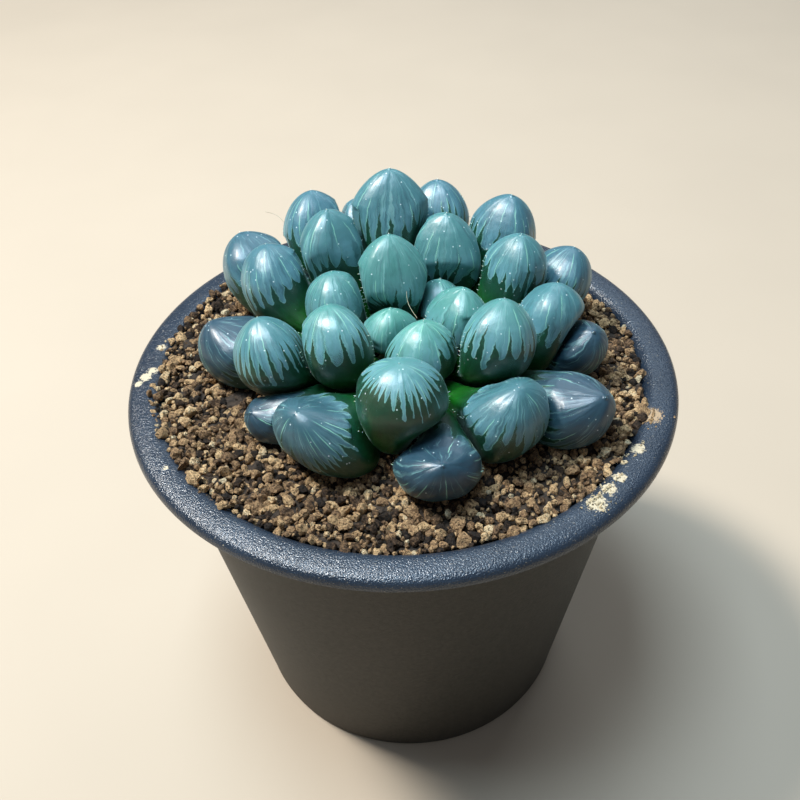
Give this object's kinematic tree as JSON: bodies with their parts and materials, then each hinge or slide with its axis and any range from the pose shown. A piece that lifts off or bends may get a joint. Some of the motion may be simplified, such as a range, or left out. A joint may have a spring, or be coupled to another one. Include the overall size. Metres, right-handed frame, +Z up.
{
  "type": "potted haworthia",
  "caption": "Potted haworthia: a rosette of plump translucent window leaves in granular tan soil, in a round dark plastic pot with a wide rolled rim",
  "frame": {"origin": "on the table, under the centre of the pot", "axes": "+Z up along the pot's axis, the pictured side to -Y, +X to its right; metres"},
  "size_m": [0.09, 0.09, 0.0953],
  "materials": {
    "pot_plastic": "dark blue-grey moulded plastic with a fine grain and a soft sheen",
    "soil": "dry baked clay grains, tan to brown, matt",
    "stem": "short green to brown stem, matt",
    "leaf": "smooth, glossy, translucent blue-green leaf skin with pale windows over dark green"
  },
  "bodies": {
    "root": {"pot": "pot_plastic", "soil": "soil", "stem": "stem", "leaf_01": "leaf", "leaf_02": "leaf", "leaf_03": "leaf", "leaf_04": "leaf", "leaf_05": "leaf", "leaf_06": "leaf", "leaf_07": "leaf", "leaf_08": "leaf", "leaf_09": "leaf", "leaf_10": "leaf", "leaf_11": "leaf", "leaf_12": "leaf", "leaf_13": "leaf", "leaf_14": "leaf", "leaf_15": "leaf", "leaf_16": "leaf", "leaf_17": "leaf", "leaf_18": "leaf", "leaf_19": "leaf", "leaf_20": "leaf", "leaf_21": "leaf", "leaf_22": "leaf", "leaf_23": "leaf", "leaf_24": "leaf", "leaf_25": "leaf", "leaf_26": "leaf", "leaf_27": "leaf", "leaf_28": "leaf", "leaf_29": "leaf", "leaf_30": "leaf", "leaf_31": "leaf", "leaf_32": "leaf", "leaf_33": "leaf", "leaf_34": "leaf"}
  },
  "joints": []
}
